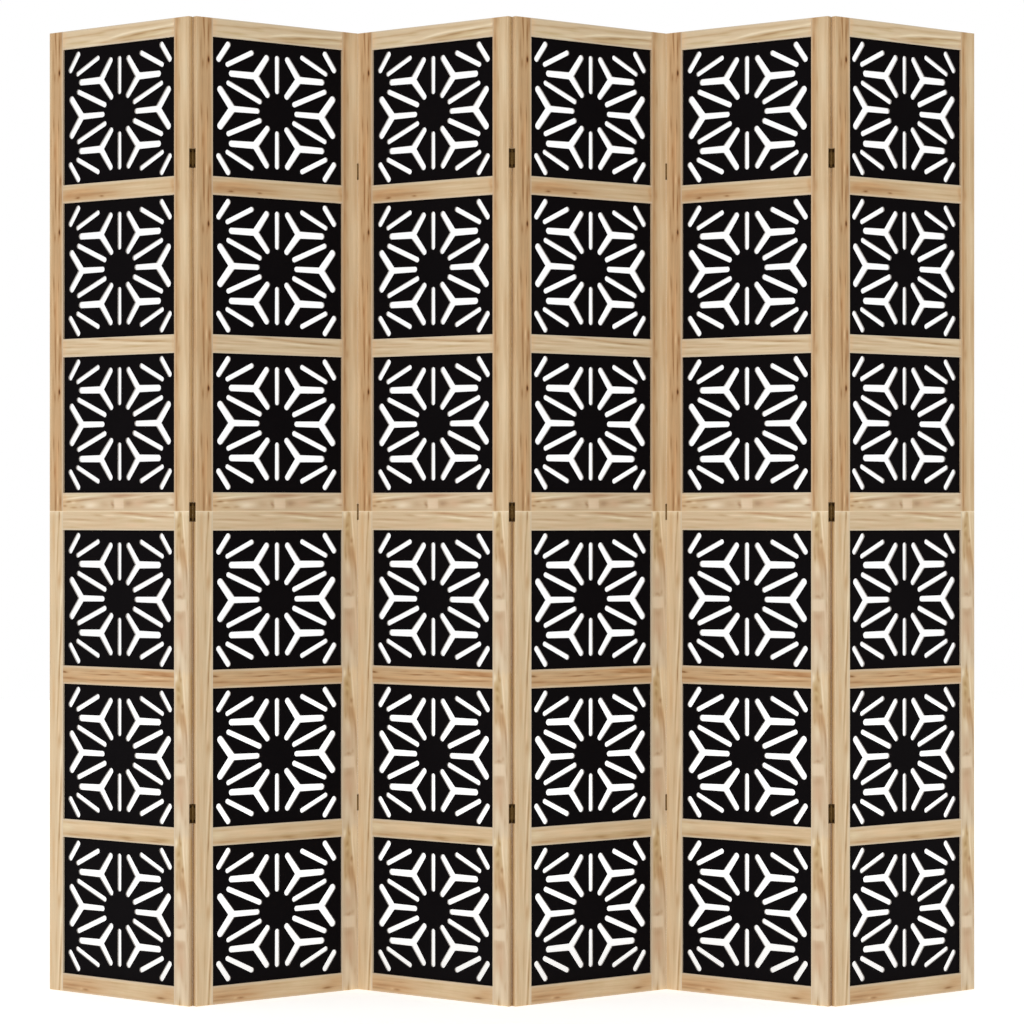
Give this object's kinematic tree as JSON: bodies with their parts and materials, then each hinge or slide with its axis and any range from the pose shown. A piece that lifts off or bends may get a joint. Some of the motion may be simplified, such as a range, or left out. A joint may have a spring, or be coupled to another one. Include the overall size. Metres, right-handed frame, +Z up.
{
  "type": "room divider",
  "caption": "Folding room divider of hinged wooden frame panels holding black pierced fretwork inserts in a radiating hemp-leaf pattern, standing in a zigzag.",
  "frame": {"origin": "on the floor, in the middle of the standing screen's footprint", "axes": "+X along the screen to the right seen from the front, -Y out of the front, +Z up"},
  "size_m": [1.7412, 0.2146, 1.8],
  "materials": {
    "frame_wood": "satin natural light wood",
    "fretwork_black": "matte black painted fibreboard",
    "dowel_wood": "plain beech dowel",
    "hinge_bronze": "dark antique bronze",
    "screw_bronze": "dark antique bronze",
    "pin_bronze": "dark antique bronze, worn"
  },
  "bodies": {
    "panel_1": {"panel1_lower_stiles": "frame_wood", "panel1_lower_rails": "frame_wood", "panel1_lower_fretwork": "fretwork_black", "panel1_upper_stiles": "frame_wood", "panel1_upper_rails": "frame_wood", "panel1_upper_fretwork": "fretwork_black", "panel1_seam_dowels": "dowel_wood", "panel1_hinge_leaves": "hinge_bronze", "panel1_hinge_screws": "screw_bronze", "fold_1_2_hinge_pins": "pin_bronze"},
    "panel_2": {"panel2_lower_stiles": "frame_wood", "panel2_lower_rails": "frame_wood", "panel2_lower_fretwork": "fretwork_black", "panel2_upper_stiles": "frame_wood", "panel2_upper_rails": "frame_wood", "panel2_upper_fretwork": "fretwork_black", "panel2_seam_dowels": "dowel_wood", "panel2_hinge_leaves": "hinge_bronze", "panel2_hinge_screws": "screw_bronze", "fold_2_3_hinge_pins": "pin_bronze"},
    "panel_3": {"panel3_lower_stiles": "frame_wood", "panel3_lower_rails": "frame_wood", "panel3_lower_fretwork": "fretwork_black", "panel3_upper_stiles": "frame_wood", "panel3_upper_rails": "frame_wood", "panel3_upper_fretwork": "fretwork_black", "panel3_seam_dowels": "dowel_wood", "panel3_hinge_leaves": "hinge_bronze", "panel3_hinge_screws": "screw_bronze", "fold_3_4_hinge_pins": "pin_bronze"},
    "panel_4": {"panel4_lower_stiles": "frame_wood", "panel4_lower_rails": "frame_wood", "panel4_lower_fretwork": "fretwork_black", "panel4_upper_stiles": "frame_wood", "panel4_upper_rails": "frame_wood", "panel4_upper_fretwork": "fretwork_black", "panel4_seam_dowels": "dowel_wood", "panel4_hinge_leaves": "hinge_bronze", "panel4_hinge_screws": "screw_bronze", "fold_4_5_hinge_pins": "pin_bronze"},
    "panel_5": {"panel5_lower_stiles": "frame_wood", "panel5_lower_rails": "frame_wood", "panel5_lower_fretwork": "fretwork_black", "panel5_upper_stiles": "frame_wood", "panel5_upper_rails": "frame_wood", "panel5_upper_fretwork": "fretwork_black", "panel5_seam_dowels": "dowel_wood", "panel5_hinge_leaves": "hinge_bronze", "panel5_hinge_screws": "screw_bronze", "fold_5_6_hinge_pins": "pin_bronze"},
    "panel_6": {"panel6_lower_stiles": "frame_wood", "panel6_lower_rails": "frame_wood", "panel6_lower_fretwork": "fretwork_black", "panel6_upper_stiles": "frame_wood", "panel6_upper_rails": "frame_wood", "panel6_upper_fretwork": "fretwork_black", "panel6_seam_dowels": "dowel_wood", "panel6_hinge_leaves": "hinge_bronze", "panel6_hinge_screws": "screw_bronze"}
  },
  "joints": [
    {"name": "fold_3_4", "type": "hinge", "parent": "panel_3", "child": "panel_4", "pos_m": [0, -0.098, 0.9], "axis": [0, 0, -1], "range_deg": [-108, 72]},
    {"name": "fold_4_5", "type": "hinge", "parent": "panel_4", "child": "panel_5", "pos_m": [0.29035, 0.098, 0.9], "axis": [0, 0, 1], "range_deg": [-108, 72]},
    {"name": "fold_5_6", "type": "hinge", "parent": "panel_5", "child": "panel_6", "pos_m": [0.5807, -0.098, 0.9], "axis": [0, 0, -1], "range_deg": [-108, 72]},
    {"name": "fold_2_3", "type": "hinge", "parent": "panel_3", "child": "panel_2", "pos_m": [-0.29035, 0.098, 0.9], "axis": [0, 0, -1], "range_deg": [-108, 72]},
    {"name": "fold_1_2", "type": "hinge", "parent": "panel_2", "child": "panel_1", "pos_m": [-0.5807, -0.098, 0.9], "axis": [0, 0, 1], "range_deg": [-108, 72]}
  ]
}
